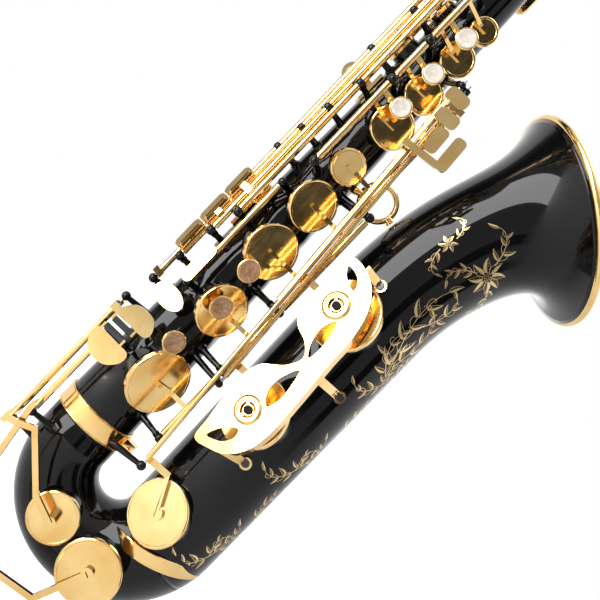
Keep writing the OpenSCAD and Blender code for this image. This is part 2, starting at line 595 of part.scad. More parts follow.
module ligature() color(gold) in_frame() mp_frame() translate([-0.6, 0, 38.5]) difference() {
    union() {
        cylinder(h = 21, r = 14.6);
        for (z = [4, 13]) translate([-19.4, -5, z]) cube([6, 10, 5]);
    }
    translate([0, 0, -1]) cylinder(h = 24, r = 13.6);
    for (z = [9.3]) translate([-40, -20, z]) cube([80, 40, 2.4]);
}
module ligature_screws() color(gold) in_frame() mp_frame() for (z = [45, 54])
    translate([-17.6, 0, z]) rotate([90, 0, 0]) {
        translate([0, 0, 5.2]) cylinder(h = 7, r = 1.6);
        translate([0, 0, 9]) cylinder(h = 4.4, r = 4);
    }

// ---- Right-hand stack ------------------------------------------------------------
d_touch = [-19.5, 29.5, 38.6];
e_touch = [-8.5, 2, 38.6];
f_touch = [-7.5, -20, 37.6];
module on_cup(row, touch_at) at(row[0], row[1]) translate(touch_at) rotate([0, -12, 0]) children();
module stack_swing() swung(low_hinge, stack_open) children();
module stack_pad(row) color("saddlebrown") in_frame() stack_swing() at(row[0], row[1]) pad(row[2], seat(row));
module stack_pearl(row, touch_at) color("chocolate") in_frame() stack_swing() on_cup(row, touch_at) pearl();
module d_key() color(gold) in_frame() stack_swing()
cup_key(D_CUP, low_hinge, 21.2, 77.2, 3.4, own_pad = false) {
    on_cup(D_CUP, d_touch) touch();
    // Bracket from the cup's edge up to the touch
    at(D_CUP[0], D_CUP[1]) {
        translate([-13.5, 16, seat(D_CUP) + 3.9]) rotate([0, 0, 25]) translate([-3, 0, 0]) cube([6, 9, 1.8]);
        translate([-16.6, 22.6, seat(D_CUP) + 3.9]) cube([4, 3.6, 5]);
    }
}
module d_pad() stack_pad(D_CUP);
module d_pearl() stack_pearl(D_CUP, d_touch);
module e_key() color(gold) in_frame() stack_swing() cup_key(E_CUP, low_hinge, 84.8, 133.4, 3, own_pad = false) {
    on_cup(E_CUP, e_touch) touch();
    at(E_CUP[0], E_CUP[1]) translate(e_touch - [-0.8, 0, 7.4]) cylinder(h = 6.4, r = 2.6);
}
module e_pad() stack_pad(E_CUP);
module e_pearl() stack_pearl(E_CUP, e_touch);
module f_key() color(gold) in_frame() stack_swing()
cup_key(F_CUP, low_hinge, 141, 181.2, 2.6, own_pad = false) {
    on_cup(F_CUP, f_touch) touch();
    at(F_CUP[0], F_CUP[1]) {
        translate([-9, -14.5, seat(F_CUP) + 3.9]) cube([3.4, 3.4, 6.6]);
        // Second limb of the forked arm, out to the touch
        translate([0, 0, seat(F_CUP) + 3.9]) linear_extrude(2.6) bar2d([[-6.5, -13], [8, -8], [16, -1]], 2.4);
    }
}
module f_pad() stack_pad(F_CUP);
module f_pearl() stack_pearl(F_CUP, f_touch);
module f_sharp_key() color(gold) in_frame() stack_swing() cup_key(FS_CUP, low_hinge, 181.5, 223.8, 2.8);
module f_sharp_trill_key() color(gold) in_frame() cup_key(TRILL_CUP, trill_hinge, 113.3, 200.2, 2.6)
    at(124, -31) {
        p = local(trill_hinge, -31);
        translate([0, 0, 40.2]) linear_extrude(2.2) rounded(9.5, 31, 4.4);
        translate([p.x - 2, -6, p.y]) cube([4, 12, 5.6]);
    }

// ---- G sharp and the left-hand stack ------------------------------------------------
module g_sharp_key() color(gold) in_frame() cup_key(GS_CUP, gs_hinge, 229.3, 318.2, 3)
    // Lever out to the little finger's table
    at(0, 0) {
        p = local(gs_hinge, 0);
        bar(316, 4.4, [p, [p.x + 3.4, 44], [p.x + 2, 50.4], [25, 50.9]], 2.4);
        translate([27.5, 321.5, 49.9]) linear_extrude(2.4) rounded(17, 10, 4);
    }
// Round touch of a left-hand stack key, on an arm from the hinge tube
module upper_touch(z, a = 6) at(z, a) {
    p = local(up_hinge, a);
    bar(0, 4, [p, [p.x + 3.5, p.y - 1], [-9.5, 38.6], [0, 37.9]], 2.2);
    translate([0, 0, 41]) touch(6.8);
}
module upper_key(row, z0, z1, touch_z) color(gold) in_frame() swung(up_hinge, -upper_open) {
    cup_key(row, up_hinge, z0, z1, 2.8) upper_touch(touch_z);
    at(touch_z, 6) translate([0, 0, 41.02]) pearl(6.7);
}
module g_key() upper_key(G_CUP, 231.2, 299.6, 293.5);
module a_key() upper_key(A_CUP, 307.2, 335.6, 325);
module b_key() upper_key(B_CUP, 343.2, 366, 357.5);
module c_key() color(gold) in_frame() swung(up_hinge, -upper_open) cup_key(C_CUP, up_hinge, 366.4, 387.8, 2.8);

// ---- Side, high and palm keys ---------------------------------------------------------
module rounded(w, h, r) {
    square([w - 2 * r, h], center = true);
    square([w, h - 2 * r], center = true);
    for (x = [-1, 1], y = [-1, 1]) translate([x * (w / 2 - r), y * (h / 2 - r)]) circle(r, $fn = 24);
}
touch_a = -60;
// Block for the side of the right hand, brazed onto the tube at angle a; its arm clears the next tube
module side_touch(z, a) at(z, touch_a) {
    p = local(left_hinge(a), touch_a);
    difference() {
        union() {
            bar(0, 5, p.x < 1 ? [p, [0, 47.4]] : [p, [p.x + 0.6, p.y + 4.6], [p.x * 0.6 - 1, 47], [0, 47.6]], 2.6);
            translate([0, 0, 46.6]) linear_extrude(2) rounded(10, 24, 2.5);
            translate([0.6, 0, 48.4]) linear_extrude(1.6) rounded(7.4, 21, 2);
        }
        tube_y(p, -8, 8, hinge_r + braze);
    }
}
module side_key(row, a, z0, z1, touch_z) color(gold) in_frame()
    cup_key(row, left_hinge(a), z0, z1, 3) side_touch(touch_z, a);
module side_bb_key() side_key(BB_SIDE, -60, 121.8, 352.2, 134);
module side_c_key() side_key(C_SIDE, -50.5, 149.8, 392.2, 159);
module high_e_key() side_key(E_HIGH, -41, 171.8, 482.2, 184);
function oval(rx, ry) = [for (i = [0:35]) [rx * cos(i * 10), ry * sin(i * 10)]];
fs_touch = [93.6, -27, 43.4];
module high_f_sharp_key() color(gold) in_frame() difference() {
    cup_key(FS_HIGH, left_hinge(-70), 97.2, 518.2, 3)
        at(fs_touch[0], fs_touch[1]) {
            p = local(left_hinge(-70), fs_touch[1]);
            bar(6.6, 4.6, [p, [p.x + 1, p.y + 8], [-15, fs_touch[2] + 0.6], [-5, fs_touch[2] + 0.6]], 2);
            translate([0, 0, fs_touch[2] - 0.6]) linear_extrude(3) polygon(oval(13.4, 7.6));
        }
    at(fs_touch[0], fs_touch[1]) translate([0, 0, fs_touch[2] + 1.3]) linear_extrude(3)
        polygon(oval(12.35, 6.55));
}
module f_sharp_pearl() color("ivory") in_frame() at(fs_touch[0], fs_touch[1])
    translate([0, 0, fs_touch[2] + 1.32]) linear_extrude(1.5) polygon(oval(12.3, 6.5));

module palm_key(row, i, z0, z1, touch_z, a) color(gold) in_frame()
    cup_key(row, palm_hinge(i), z0, z1, 3)
        at(touch_z, a) {
            p = local(palm_hinge(i), a);
            bar(10, 6, [p, [p.x * 0.5, 34.6], [0, 36.4]], 2.4);
            translate([0, 0, 35.6]) linear_extrude(2.4) rounded(13, 27, 5.5);
        }
module palm_d_key() palm_key(D_PALM, 0, 411.8, 439.2, 405, 196);
module palm_eb_key() palm_key(EB_PALM, 1, 449.3, 468.7, 443, 150);
module palm_f_key() palm_key(F_PALM, 2, 476.3, 502.2, 470, 200);

// ---- Right-hand little finger ------------------------------------------------------------
// Keys on the bow are drawn in the key frame of the right-hand side, a = 0
plate_h = 37;                   // height of the little finger's plates
roller_h = 38.4;
roller_x = -29.5;
eb_roller_z = 57.4;
c_roller_z = 50.4;
eb_plate = smooth([[-39, 61.4], [-36, 71], [-28, 76], [-17, 75], [-11.5, 67], [-14, 61.4], [-26, 61.1]], 5);
c_plate = smooth([[-40, 46.2], [-26, 46.5], [-13.5, 46.2], [-12.5, 38], [-21, 29.5], [-34, 29.5], [-41, 38]], 5);
module bow_key(row, hinge, z0, z1, h, route, route_h) {
    p = local(hinge, 0);
    at(0, 0) {
        difference() {
            union() {
                translate([row.x, row.y, 0]) cup(row[2], h);
                tube_y(p, z0, z1, hinge_r);
                translate([0, 0, route_h]) linear_extrude(3.2) bar2d(route, 4.2);
                translate([row.x, row.y, h + 4]) cylinder(h = route_h - h - 2, r = 4.4);
                // Web from the hinge tube out to the arm
                translate([p.x - 2, z0 + 0.6, p.y]) cube([4.2, 6.4, route_h + 3.2 - p.y]);
                children();
            }
            tube_y(p, z0 - 1, z1 + 1, rod_r + rod_gap);
        }
    }
}
// Plate with a pair of ears and the spindle of its roller, on a web from the hinge tube
module finger_plate(outline, p, z, side, web_z) {
    translate([0, 0, plate_h]) linear_extrude(2.2) polygon(outline);
    for (x = [-9.8, 8.2]) translate([roller_x + x, min(z - 1.4, z - 1.4 + side * 6), plate_h])
        cube([1.6, 8.8, 2.8]);
    translate([roller_x - 9, z, roller_h]) rotate([0, 90, 0]) cylinder(h = 18, r = 0.75);
    translate([p.x - 1.6, web_z - 3, p.y]) cube([3.2, 6, plate_h + 1 - p.y]);
    translate([p.x - 1.6, web_z - 3, plate_h]) cube([8, 6, 1.6]);
}
module low_eb_key() color(gold) in_frame() {
    at(0, 0) translate([EB_LOW.x, EB_LOW.y, 0]) pad(EB_LOW[2], bow_seat);
    bow_key(EB_LOW, eb_hinge, -42.2, 67, bow_seat,
        [[-43.5, -38.2], [-36, -36], [-24, -30.5], [7.6, -62.5], [EB_LOW.x, EB_LOW.y]], 47.4)
        finger_plate(eb_plate, local(eb_hinge, 0), eb_roller_z, 1, 63.6);
}
module low_c_key() color(gold) in_frame() swung(c_hinge, -low_c_open)
    bow_key(C_LOW, c_hinge, -26.8, 42, bow_seat + 2,
        [[-35, -23.4], [-31, -50], [-26, -80], [-12, -103], [20, -119], [54, -113], [C_LOW.x, C_LOW.y]], 42)
        finger_plate(c_plate, local(c_hinge, 0), c_roller_z, -1, 38.6);
module roller(z) at(z, 0) translate([roller_x, 0, roller_h]) rotate([0, 90, 0]) difference() {
    cylinder(h = 16, r = 2.4, center = true);
    cylinder(h = 20, r = 0.82, center = true);
}
module eb_roller() color("dimgray") in_frame() roller(eb_roller_z);
module c_roller() color("dimgray") in_frame() swung(c_hinge, -low_c_open) roller(c_roller_z);
module low_c_pad() color("saddlebrown") in_frame() swung(c_hinge, -low_c_open) at(0, 0)
    translate([C_LOW.x, C_LOW.y, 0]) pad(C_LOW[2], bow_seat + 2);

// ---- Low C sharp, B and B flat ---------------------------------------------------------------
// Key on a long leaning rod: cup on the bell leg, arm at height arm_z, touch on the table
module long_key(row, hinge, z0, z1, arm_z, table) {
    z = row[0];
    shift = [(hinge.x - arm_z * sin(long_tilt)) / cos(long_tilt), hinge.y];
    h = bell_seat(row);
    difference() {
        union() {
            difference() {
                at(z, row[1], bell_axis) {
                    cup(row[2], h);
                    p = local(shift, row[1], bell_axis);
                    bar(arm_z - z, 5, [p, [p.x + 0.4, p.y - 6], [-row[2] * 0.5, h + 6.2]], bar_t);
                    // Twin limbs down to the cup's middle
                    for (y = [-1, 1]) translate([0, 0, h + 3.9]) linear_extrude(3.4)
                        bar2d([[-row[2] * 0.52, arm_z - z + y * 1.4], [0, y * 3]], 1.8);
                    translate([0, 0, h + 3.9]) cylinder(h = 2.6, r = 5);
                }
                leaning() tube_z(hinge, z0 - 6, z1 + 1, long_r + braze);
            }
            leaning() {
                tube_z(hinge, z0, z1, long_r);
                table_touch(hinge, table);
            }
        }
        leaning() tube_z(hinge, z0 - 6, z1 + 1, rod_r + rod_gap);
    }
}
long_top = 326.8;               // upper ends of the long hinge tubes
long_r = 2;
// Table touch, brazed onto its tube: way out from the tube, then centre, width and height of the plate
table_h = 50;
module table_touch(hinge, t) at(0, 0) {
    p = [hinge.x, -hinge.y];
    difference() {
        union() {
            bar(t[0], 5, concat([p], t[1]), 2.2);
            translate([t[2].x, t[2].y, table_h]) linear_extrude(2.2) rounded(t[3].x, t[3].y, 3.5);
        }
        tube_y(p, t[0] - 8, t[0] + 8, long_r + braze);
    }
}
cs_table = [304.5, [[44.6, 51]], [50.5, 304.5], [17, 10]];
b_table = [288.6, [[52.6, 45], [53.6, 51]], [56, 288.6], [10, 19]];
bb_table = [275.5, [[39.8, 41.8], [40.1, 50.9], [67, 51.1]], [69.3, 286.5], [9, 26]];
module low_c_sharp_key() color(gold) in_frame() {
    long_key(CS_CUP, cs_hinge, 3, long_top, 5, cs_table);
    at(CS_CUP[0], CS_CUP[1], bell_axis) pad(CS_CUP[2], bell_seat(CS_CUP));
}
module low_b_key() color(gold) in_frame() lean_swung(b_hinge, -low_b_open)
    long_key(B_LOW, b_hinge, 78, long_top, 92, b_table);
module low_bb_key() color(gold) in_frame() lean_swung(bb_hinge, -low_bb_open)
    long_key(BB_LOW, bb_hinge, 141, long_top, 167, bb_table);
module bell_pad(row, hinge, turn) color("saddlebrown") in_frame() lean_swung(hinge, -turn)
    at(row[0], row[1], bell_axis) pad(row[2], bell_seat(row));
module low_b_pad() bell_pad(B_LOW, b_hinge, low_b_open);
module low_bb_pad() bell_pad(BB_LOW, bb_hinge, low_bb_open);

body_tube();
bow_tube();
bell();
bell_rim_ring();
ferrules();
bell_key_guard();
guard_screws();
bumper_holders();
bumper_felts();
bell_brace();
body_posts();
bow_posts();
hinge_rods();
neck_receiver();
receiver_screw();
strap_ring();
thumb_hook();
thumb_rest();
neck_tube();
neck_cork();
neck_octave_key();
octave_lever();
mouthpiece();
reed();
ligature();
ligature_screws();
d_key();
d_pad();
d_pearl();
e_key();
e_pad();
e_pearl();
f_key();
f_pad();
f_pearl();
f_sharp_key();
f_sharp_trill_key();
g_sharp_key();
g_key();
a_key();
b_key();
c_key();
side_bb_key();
side_c_key();
high_e_key();
high_f_sharp_key();
f_sharp_pearl();
palm_d_key();
palm_eb_key();
palm_f_key();
low_eb_key();
eb_roller();
low_c_key();
c_roller();
low_c_sharp_key();
low_b_key();
low_b_pad();
low_bb_key();
low_bb_pad();
low_c_pad();
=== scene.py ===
"""A tenor saxophone in black lacquer with gold keywork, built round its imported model."""

import json
import math
import random

import bpy
from mathutils import Matrix, Vector


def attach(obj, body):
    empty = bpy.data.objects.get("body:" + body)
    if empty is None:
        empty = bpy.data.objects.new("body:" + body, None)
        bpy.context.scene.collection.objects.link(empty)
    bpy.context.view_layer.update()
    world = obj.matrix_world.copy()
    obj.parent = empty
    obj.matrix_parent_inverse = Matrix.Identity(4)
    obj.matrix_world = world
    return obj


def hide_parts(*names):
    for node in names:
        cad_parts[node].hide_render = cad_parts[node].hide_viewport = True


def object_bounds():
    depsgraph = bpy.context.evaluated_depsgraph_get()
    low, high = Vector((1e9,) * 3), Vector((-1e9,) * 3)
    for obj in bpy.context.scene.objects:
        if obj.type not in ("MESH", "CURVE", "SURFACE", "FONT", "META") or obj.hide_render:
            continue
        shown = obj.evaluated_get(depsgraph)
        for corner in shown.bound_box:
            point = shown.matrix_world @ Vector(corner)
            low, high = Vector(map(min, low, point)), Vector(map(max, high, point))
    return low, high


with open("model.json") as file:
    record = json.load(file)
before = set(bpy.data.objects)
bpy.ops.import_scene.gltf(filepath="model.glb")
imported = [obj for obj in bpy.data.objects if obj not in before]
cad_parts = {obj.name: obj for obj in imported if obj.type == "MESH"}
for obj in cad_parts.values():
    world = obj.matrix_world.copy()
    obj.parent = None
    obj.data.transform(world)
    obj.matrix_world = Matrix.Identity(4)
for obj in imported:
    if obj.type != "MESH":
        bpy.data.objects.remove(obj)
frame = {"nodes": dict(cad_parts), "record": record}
CAD_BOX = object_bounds()

# ---- Places -------------------------------------------------------------------------
# The instrument's own millimetres: the body tube stands on x = y = 0 with its foot at z = 0.

RING = Vector((-37.0, 0.0, 300.0))  # strap ring, the frame's origin
BODY_LEN = 560.0
BODY_R0, BODY_R1 = 28.0, 14.3
LEG_GAP = 96.0
BOW_Z = -31.0
BOW_R1 = 38.1
MOUTH_R = 74.5
SHEET = 0.8
BOW_END = 164.0
NECK_R0, NECK_R1 = 12.6, 7.2


def place(x, y, z):
    """A point of the instrument in the frame, in metres."""
    return (Vector((x, y, z)) - RING) / 1000


def mix(a, b, t):
    """The value t of the way from a to b."""
    return a + (b - a) * t


# ---- Materials ----------------------------------------------------------------------


class Finish:
    """A material with its nodes, and short calls to build them."""

    def __init__(self, name):
        self.material = bpy.data.materials.new(name)
        self.material.use_nodes = True
        self.tree = self.material.node_tree
        self.surface = self.tree.nodes["Principled BSDF"]
        self.coords = self.tree.nodes.new("ShaderNodeTexCoord").outputs["Object"]

    def link(self, source, target):
        self.tree.links.new(source, target)

    def set(self, **values):
        for name, value in values.items():
            self.surface.inputs[name.replace("_", " ")].default_value = value

    def noise(self, scale, detail=4.0, stretch=(1, 1, 1), rough=0.5, distortion=0.0):
        stretched = self.tree.nodes.new("ShaderNodeMapping")
        stretched.inputs["Scale"].default_value = stretch
        self.link(self.coords, stretched.inputs["Vector"])
        node = self.tree.nodes.new("ShaderNodeTexNoise")
        node.inputs["Scale"].default_value = scale
        node.inputs["Detail"].default_value = detail
        node.inputs["Roughness"].default_value = rough
        node.inputs["Distortion"].default_value = distortion
        self.link(stretched.outputs["Vector"], node.inputs["Vector"])
        return node.outputs["Fac"]

    def cells(self, scale, feature="F1"):
        node = self.tree.nodes.new("ShaderNodeTexVoronoi")
        node.feature = feature
        node.inputs["Scale"].default_value = scale
        self.link(self.coords, node.inputs["Vector"])
        return node.outputs["Distance"]

    def ramp(self, source, *stops):
        node = self.tree.nodes.new("ShaderNodeValToRGB")
        band = node.color_ramp
        while len(band.elements) < len(stops):
            band.elements.new(0.5)
        for element, (position, colour) in zip(band.elements, stops):
            element.position = position
            element.color = (*colour, 1) if len(colour) == 3 else colour
        self.link(source, node.inputs["Fac"])
        return node.outputs["Color"]

    def spread(self, source, low, high, start=0.3, end=0.7):
        """Maps start to end, the middle of a noise by default, to low to high."""
        node = self.tree.nodes.new("ShaderNodeMapRange")
        node.inputs["From Min"].default_value = start
        node.inputs["From Max"].default_value = end
        node.inputs["To Min"].default_value = low
        node.inputs["To Max"].default_value = high
        self.link(source, node.inputs["Value"])
        return node.outputs["Result"]

    def blend(self, factor, a, b):
        """Mixes two colours, each a tuple or a socket."""
        node = self.tree.nodes.new("ShaderNodeMix")
        node.data_type = "RGBA"
        self.link(factor, node.inputs["Factor"])
        for socket, value in zip(node.inputs[6:8], (a, b)):
            if isinstance(value, tuple):
                socket.default_value = (*value, 1)
            else:
                self.link(value, socket)
        return node.outputs[2]

    def colour(self, source):
        self.link(source, self.surface.inputs["Base Color"])

    def roughness(self, source):
        self.link(source, self.surface.inputs["Roughness"])

    def bump(self, *layers):
        """Each layer is a height source, its strength and its depth in metres."""
        last = None
        for source, strength, depth in layers:
            node = self.tree.nodes.new("ShaderNodeBump")
            node.inputs["Strength"].default_value = strength
            node.inputs["Distance"].default_value = depth
            self.link(source, node.inputs["Height"])
            if last is not None:
                self.link(last, node.inputs["Normal"])
            last = node.outputs["Normal"]
        self.link(last, self.surface.inputs["Normal"])
        return last


def black_lacquer():
    """Deep black enamel over brass: mirror gloss, a faint ripple and a little handling haze."""
    f = Finish("black_lacquer")
    haze = f.noise(14, 5)
    dust = f.ramp(f.cells(900), (0.0, (1, 1, 1)), (0.045, (0, 0, 0)))
    f.colour(f.blend(dust, (0.0022, 0.0021, 0.0024), (0.02, 0.02, 0.02)))
    f.roughness(f.spread(haze, 0.10, 0.18))
    f.set(Coat_Weight=1.0, Coat_Roughness=0.02, Coat_IOR=1.33, Specular_IOR_Level=0.04)
    f.bump((f.noise(55, 2), 0.02, 0.0003), (f.noise(520, 3), 0.02, 0.00006))
    return f.material


def gold_lacquer(name, deep, light, rough):
    """Polished brass under clear lacquer, with fine polishing marks and slow changes of tone."""
    f = Finish(name)
    tone = f.spread(f.noise(38, 4), 0.0, 1.0)
    marks = f.noise(240, 5, (1, 1, 0.12), 0.62)
    cloud = f.noise(60, 3)
    spots = f.ramp(f.cells(420), (0.0, (1, 1, 1)), (0.05, (0, 0, 0)))
    base = f.blend(tone, deep, light)
    f.colour(f.blend(spots, base, (0.55, 0.34, 0.12)))
    worn = f.tree.nodes.new("ShaderNodeMath")
    worn.operation = "MULTIPLY"
    f.link(marks, worn.inputs[0])
    f.link(cloud, worn.inputs[1])
    f.roughness(f.spread(worn.outputs[0], *rough, 0.12, 0.4))
    f.set(Metallic=1.0, Coat_Weight=0.5, Coat_Roughness=0.04, Coat_IOR=1.45)
    f.bump((f.noise(60, 2), 0.03, 0.0002), (marks, 0.015, 0.00002))
    return f.material


def pearl(name, dark, middle, bright):
    """Mother-of-pearl: soft wavy layers with a milky glow under a polished face."""
    f = Finish(name)
    layers = f.noise(210, 5, (1, 0.5, 1), 0.55, 1.6)
    glints = f.noise(560, 3, (1, 1, 0.4), 0.5, 0.8)
    tone = f.ramp(layers, (0.28, dark), (0.5, middle), (0.72, bright))
    f.colour(f.blend(f.spread(glints, 0.0, 0.4), tone, bright))
    f.roughness(f.spread(layers, 0.16, 0.3))
    f.set(Coat_Weight=0.8, Coat_Roughness=0.05, Sheen_Weight=0.15)
    f.set(Subsurface_Weight=0.12, Subsurface_Scale=0.002)
    f.bump((layers, 0.05, 0.0001))
    return f.material


def steel(name, colour, rough):
    """Turned steel with fine lines along it."""
    f = Finish(name)
    lines = f.noise(900, 4, (1, 1, 0.03), 0.6)
    f.colour(f.blend(f.spread(lines, 0.0, 0.5), colour, tuple(c * 0.72 for c in colour)))
    f.roughness(f.spread(lines, rough, rough + 0.14))
    f.set(Metallic=1.0)
    f.bump((lines, 0.1, 0.00004))
    return f.material


def felt():
    """Black wool felt."""
    f = Finish("felt")
    fibres = f.noise(1500, 6, (1, 1, 0.5), 0.7, 0.6)
    f.colour(f.ramp(fibres, (0.3, (0.003, 0.003, 0.0035)), (0.75, (0.022, 0.021, 0.022))))
    f.set(Roughness=0.95, Sheen_Weight=0.08, Sheen_Roughness=0.5, Specular_IOR_Level=0.2)
    f.bump((fibres, 0.6, 0.0004))
    return f.material


def pad_leather():
    """Tan leather of the pads, with a fine grain."""
    f = Finish("pad_leather")
    grain = f.cells(900, feature="SMOOTH_F1")
    tone = f.noise(120, 4)
    f.colour(f.ramp(tone, (0.3, (0.34, 0.17, 0.075)), (0.7, (0.55, 0.31, 0.15))))
    f.roughness(f.spread(tone, 0.42, 0.6))
    f.bump((grain, 0.35, 0.0002), (tone, 0.3, 0.0003))
    return f.material


def roller_black():
    """Turned black plastic."""
    f = Finish("roller_black")
    marks = f.noise(300, 4, (0.2, 1, 1))
    f.colour(f.ramp(marks, (0.3, (0.012, 0.012, 0.013)), (0.75, (0.04, 0.04, 0.043))))
    f.roughness(f.spread(marks, 0.22, 0.4))
    f.bump((marks, 0.12, 0.0001))
    return f.material


def ebonite():
    """Dull-polished hard rubber with light scratches."""
    f = Finish("ebonite")
    haze = f.noise(60, 5)
    scratches = f.noise(500, 5, (0.1, 1, 1), 0.7)
    f.colour(f.ramp(haze, (0.3, (0.009, 0.008, 0.008)), (0.8, (0.02, 0.018, 0.016))))
    f.roughness(f.spread(scratches, 0.16, 0.32))
    f.set(Coat_Weight=0.4, Coat_Roughness=0.08)
    f.bump((scratches, 0.05, 0.00006))
    return f.material


def cane():
    """Cane of the reed, with fibres along it."""
    f = Finish("cane")
    fibres = f.noise(700, 5, (0.06, 1, 1), 0.6)
    f.colour(f.ramp(fibres, (0.25, (0.52, 0.37, 0.14)), (0.55, (0.76, 0.6, 0.3)),
                    (0.8, (0.86, 0.73, 0.45))))
    f.set(Roughness=0.55)
    f.bump((fibres, 0.3, 0.0001))
    return f.material


def cork():
    """Sheet cork with dark pits."""
    f = Finish("cork")
    grain = f.cells(420)
    specks = f.noise(260, 5, rough=0.7)
    base = f.ramp(specks, (0.3, (0.34, 0.2, 0.1)), (0.62, (0.62, 0.42, 0.24)),
                  (0.8, (0.72, 0.53, 0.33)))
    pits = f.ramp(grain, (0.0, (1, 1, 1)), (0.16, (0, 0, 0)))
    f.colour(f.blend(pits, base, (0.16, 0.08, 0.04)))
    f.set(Roughness=0.8)
    f.bump((grain, 0.4, 0.0003), (specks, 0.3, 0.0002))
    return f.material


FINISHES = {
    "black_lacquer": black_lacquer(),
    "gold_lacquer": gold_lacquer("gold_lacquer", (0.80, 0.50, 0.16), (0.93, 0.68, 0.30),
                                 (0.10, 0.20)),
    "steel": steel("steel", (0.62, 0.62, 0.64), 0.14),
    "dark_steel": steel("dark_steel", (0.10, 0.10, 0.11), 0.24),
    "felt": felt(),
    "pad_leather": pad_leather(),
    "copper_pearl": pearl("copper_pearl", (0.15, 0.066, 0.027), (0.27, 0.125, 0.052),
                          (0.42, 0.23, 0.115)),
    "white_pearl": pearl("white_pearl", (0.40, 0.345, 0.275), (0.53, 0.475, 0.40),
                         (0.66, 0.62, 0.55)),
    "roller_black": roller_black(),
    "ebonite": ebonite(),
    "cane": cane(),
    "cork": cork(),
}
PAD = FINISHES["pad_leather"]
PEARL = FINISHES["white_pearl"]
ENGRAVED = gold_lacquer("engraved_gold", (0.62, 0.42, 0.18), (0.86, 0.66, 0.36), (0.28, 0.42))

SLOT_OF = {p["node"]: p["material_slot"] for p in frame["record"]["subparts"]}
for node_name, node in frame["nodes"].items():
    node.data.materials.clear()
    node.data.materials.append(FINISHES[SLOT_OF[node_name]])


def loose_parts(mesh):
    """The separate shells of a mesh, each as its polygons, size and height, largest first."""
    owner = {}

    def root(k):
        while owner[k] != k:
            owner[k] = owner[owner[k]]
            k = owner[k]
        return k

    keys = [tuple(round(c * 2e5) for c in v.co) for v in mesh.vertices]
    for k in keys:
        owner[k] = k
    for face in mesh.polygons:
        first = root(keys[face.vertices[0]])
        for i in face.vertices[1:]:
            owner[root(keys[i])] = first
    parts = {}
    for face in mesh.polygons:
        parts.setdefault(root(keys[face.vertices[0]]), []).append(face.index)
    sized = []
    for faces in parts.values():
        spots = [mesh.vertices[i].co for k in faces for i in mesh.polygons[k].vertices]
        low = Vector([min(c) for c in zip(*spots)])
        high = Vector([max(c) for c in zip(*spots)])
        sized.append((faces, (high - low).length, (high + low).z * 500 + RING.z))
    return sorted(sized, key=lambda part: -part[1])


# Keys whose pad, and pearl where they have one, are shells of the key's own node
PEARLED = {"g_key", "a_key", "b_key"}
PEARL_SPAN = (0.017, 0.0212)  # box diagonal of a left-hand pearl
# Keys with a brazed touch, and the height of their cup
TOUCHED = {"side_bb_key": 338, "side_c_key": 376, "high_e_key": 470, "low_c_sharp_key": -18}
PADDED = ("f_sharp f_sharp_trill g_sharp g a b c side_bb side_c high_e high_f_sharp "
          "palm_d palm_eb palm_f low_eb low_c_sharp neck_octave").split()
for key_name in (name + "_key" for name in PADDED):
    key_mesh = frame["nodes"][key_name].data
    key_mesh.materials.append(PAD)
    key_mesh.materials.append(PEARL)
    soft = loose_parts(key_mesh)[1:]
    if key_name in TOUCHED:
        # The touch is a shell too, so the pad is the smallest one at the cup
        soft = [part for part in soft if abs(part[2] - TOUCHED[key_name]) < 8][-1:]
    for shell, span, _ in soft:
        is_pearl = key_name in PEARLED and PEARL_SPAN[0] < span < PEARL_SPAN[1]
        for k in shell:
            key_mesh.polygons[k].material_index = 2 if is_pearl else 1


# ---- Mesh helpers -------------------------------------------------------------------


def add_piece(name, points, faces, body, slot, material=None):
    """A mesh piece that rides on a body, finished with the given material, or else with the finish
    of the record's slot.
    """
    mesh = bpy.data.meshes.new(name)
    mesh.from_pydata([tuple(p) for p in points], [], faces)
    mesh.validate()
    mesh.polygons.foreach_set("use_smooth", [True] * len(mesh.polygons))
    mesh.materials.append(material or FINISHES[slot])
    piece = bpy.data.objects.new(name, mesh)
    bpy.context.scene.collection.objects.link(piece)
    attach(piece, body)
    return piece


class Soup:
    """Points and faces gathered from several shapes into one mesh."""

    def __init__(self):
        self.points, self.faces = [], []

    def add(self, points, faces):
        first = len(self.points)
        self.points += list(points)
        self.faces += [tuple(i + first for i in f) for f in faces]

    def lathe(self, profile, matrix=None, n=32, closed=False):
        """Turns a profile of (radius, height) round its own z axis."""
        points, faces = [], []
        for r, h in profile:
            for j in range(n):
                f = 2 * math.pi * j / n
                points.append(Vector((r * math.cos(f), r * math.sin(f), h)))
        rows = len(profile)
        for i in range(rows if closed else rows - 1):
            for j in range(n):
                a, b = i * n, (i + 1) % rows * n
                k = (j + 1) % n
                faces.append((a + j, a + k, b + k, b + j))
        if matrix is not None:
            points = [matrix @ p for p in points]
        self.add(points, faces)


def swept(stations, n):
    """A hollow tube of stations (x, z, direction, outer, inner), all closed and smooth."""
    points, faces = [], []
    rows = [(s, s[3]) for s in stations] + [(s, s[4]) for s in reversed(stations)]
    for (x, z, a, _, _), r in rows:
        for j in range(n):
            f = 2 * math.pi * j / n
            u = r * math.cos(f)
            points.append(place(x + u * math.sin(a), r * math.sin(f), z - u * math.cos(a)))
    k = len(rows)
    for i in range(k):
        for j in range(n):
            m = (j + 1) % n
            a, b = i * n, (i + 1) % k * n
            faces.append((a + j, a + m, b + m, b + j))
    return points, faces


# ---- Bow and bell, on their smooth curves ------------------------------------------------


def bow_r(q):
    """Outer radius of the bow at q degrees round it."""
    return BODY_R0 + 0.2 + (BOW_R1 - BODY_R0 - 0.2) * q / 180


def bow_station(q):
    """Station of the bow at q degrees round it."""
    r, f = bow_r(q), math.radians(q)
    x, z = LEG_GAP / 2 * (1 - math.cos(f)), BOW_Z - LEG_GAP / 2 * math.sin(f)
    return (x, z, f - math.pi / 2, r, r - SHEET)


def leg_r(z):
    """Outer radius of the bell's straight leg at a height."""
    return 38.5 + 0.0125 * z


